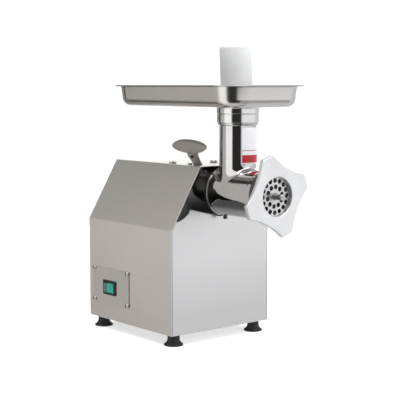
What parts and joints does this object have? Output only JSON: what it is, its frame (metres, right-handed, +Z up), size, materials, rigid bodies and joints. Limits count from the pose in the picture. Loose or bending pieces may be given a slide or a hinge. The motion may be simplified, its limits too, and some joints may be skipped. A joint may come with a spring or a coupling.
{
  "type": "electric meat grinder",
  "caption": "Countertop electric meat grinder: folded steel housing, polished clamped grinding head with star nut and plate, feed tray, pusher, geared motor inside.",
  "frame": {"origin": "middle of the whole part's box, on the surface that the feet stand on", "axes": "+Z up; the auger runs along Y and the star nut faces -Y; the switch is on the -X side"},
  "size_m": [0.2188, 0.3948, 0.4866],
  "materials": {
    "housing_steel": "fine satin brushed stainless sheet, soft reflections",
    "switch_plate_steel": "satin brushed stainless plate",
    "tray_steel": "deep-drawn stainless pan with a satin finish",
    "plain_steel": "plain rolled sheet steel",
    "fastener_steel": "zinc-plated pan-head screws",
    "dark_steel": "blackened steel screws",
    "plated_brass": "bright nickel plate over a knurled plug",
    "polished_alloy": "hand-polished cast alloy, near mirror",
    "cast_alloy": "raw die-cast alloy",
    "star_nut_alloy": "fine blasted cast alloy with a bright machined edge",
    "auger_alloy": "cast and tumbled alloy",
    "plate_steel": "ground cutting steel",
    "machined_steel": "oiled machined steel",
    "bronze": "sintered bronze",
    "motor_laminations": "varnished lamination stack",
    "painted_cowl": "black paint on pressed steel",
    "foot_rubber": "moulded black rubber, matte",
    "seal_rubber": "black nitrile O-ring, slight sheen",
    "black_plastic": "black moulded nylon, fine texture",
    "rocker_green": "translucent green lens, glossy",
    "capacitor_white": "white moulded plastic",
    "handle_grey": "grey powder-coated casting",
    "ring_white": "white slide ring",
    "pusher_plastic": "milky white food-grade polymer, waxy sheen",
    "label_white": null
  },
  "bodies": {
    "housing": {"housing_shell": "housing_steel", "front_panel": "housing_steel", "rear_panel": "housing_steel", "base_plate": "plain_steel", "foot_front_left": "foot_rubber", "foot_front_right": "foot_rubber", "foot_rear_left": "foot_rubber", "foot_rear_right": "foot_rubber", "switch_plate": "switch_plate_steel", "plate_screw_1": "fastener_steel", "plate_screw_2": "fastener_steel", "plate_screw_3": "fastener_steel", "plate_screw_4": "fastener_steel", "switch_body": "black_plastic", "cover_screw_1": "dark_steel", "cover_screw_2": "dark_steel", "filler_plug": "plated_brass", "socket_tube": "polished_alloy", "gear_case": "cast_alloy", "chassis_plate": "plain_steel", "output_bearing_front": "machined_steel", "output_bearing_rear": "machined_steel", "lay_bush_front": "bronze", "lay_bush_rear": "bronze", "motor_front_bell": "cast_alloy", "stator": "motor_laminations", "motor_rear_bell": "cast_alloy", "motor_bearing_front": "machined_steel", "motor_bearing_rear": "machined_steel", "fan_cowl": "painted_cowl", "start_capacitor": "capacitor_white", "capacitor_clip": "plain_steel", "terminal_block": "capacitor_white", "cable_gland": "black_plastic", "gland_nut": "black_plastic"},
    "rocker": {"rocker": "rocker_green"},
    "clamp_screw": {"clamp_screw": "machined_steel"},
    "clamp_handle": {"clamp_handle": "handle_grey"},
    "motor": {"motor_shaft": "machined_steel", "rotor_core": "motor_laminations", "motor_pinion": "machined_steel", "cooling_fan": "black_plastic"},
    "lay": {"lay_shaft": "machined_steel", "lay_pinion": "machined_steel", "lay_gear": "machined_steel"},
    "output": {"output_shaft": "machined_steel", "output_gear": "machined_steel"},
    "head": {"head_casting": "polished_alloy", "head_o_ring": "seal_rubber", "locating_screw": "dark_steel", "cutting_plate": "plate_steel", "plate_key": "plate_steel"},
    "auger": {"auger": "auger_alloy", "auger_stud": "plate_steel", "knife": "plate_steel"},
    "nut_carrier": {"thrust_ring": "ring_white"},
    "ring_nut": {"ring_nut": "star_nut_alloy"},
    "tray": {"feed_tray": "tray_steel"},
    "pusher": {"pusher": "pusher_plastic"}
  },
  "joints": [
    {"name": "rocker_tilt", "type": "hinge", "parent": "housing", "child": "rocker", "pos_m": [-0.09869, 0.1196, 0.0755], "axis": [0, 0, -1], "range_deg": [0, 16]},
    {"name": "clamp_advance", "type": "slide", "parent": "housing", "child": "clamp_screw", "axis": [-0.515, 0, 0.8572], "range_m": [0, 0.00187]},
    {"name": "clamp_turn", "type": "hinge", "parent": "clamp_screw", "child": "clamp_handle", "pos_m": [0.00441, -0.0209, 0.25], "axis": [-0.515, 0, 0.8572], "range_deg": [0, 450]},
    {"name": "motor_spin", "type": "hinge", "parent": "housing", "child": "motor", "pos_m": [0.00441, 0.1091, 0.13728], "axis": [0, 1, 0], "continuous": true},
    {"name": "lay_spin", "type": "hinge", "parent": "housing", "child": "lay", "pos_m": [0.00441, 0.0491, 0.1994], "axis": [0, 1, 0], "continuous": true},
    {"name": "output_spin", "type": "hinge", "parent": "housing", "child": "output", "pos_m": [0.00441, 0.0191, 0.25], "axis": [0, 1, 0], "continuous": true},
    {"name": "head_slide", "type": "slide", "parent": "housing", "child": "head", "axis": [0, -1, 0], "range_m": [0, 0.07]},
    {"name": "auger_spin", "type": "hinge", "parent": "head", "child": "auger", "pos_m": [0.00441, -0.1109, 0.25], "axis": [0, 1, 0], "continuous": true},
    {"name": "nut_advance", "type": "slide", "parent": "head", "child": "nut_carrier", "axis": [0, -1, 0], "range_m": [0, 0.0151]},
    {"name": "nut_turn", "type": "hinge", "parent": "nut_carrier", "child": "ring_nut", "pos_m": [0.00441, -0.1809, 0.25], "axis": [0, -1, 0], "range_deg": [0, 1800]},
    {"name": "tray_lift", "type": "slide", "parent": "head", "child": "tray", "axis": [0, 0, 1], "range_m": [0, 0.045]},
    {"name": "pusher_lift", "type": "slide", "parent": "head", "child": "pusher", "axis": [-0.027, 0.0222, 0.9994], "range_m": [0, 0.145]}
  ],
  "couplings": [
    {"joint": "lay_spin", "follows": "motor_spin", "ratio": -0.22414},
    {"joint": "output_spin", "follows": "motor_spin", "ratio": 0.13139},
    {"joint": "auger_spin", "follows": "motor_spin", "ratio": 0.13139},
    {"joint": "nut_advance", "follows": "nut_turn", "m_per_rad": 0.00047746},
    {"joint": "clamp_turn", "follows": "clamp_advance", "rad_per_m": 4188.8}
  ]
}
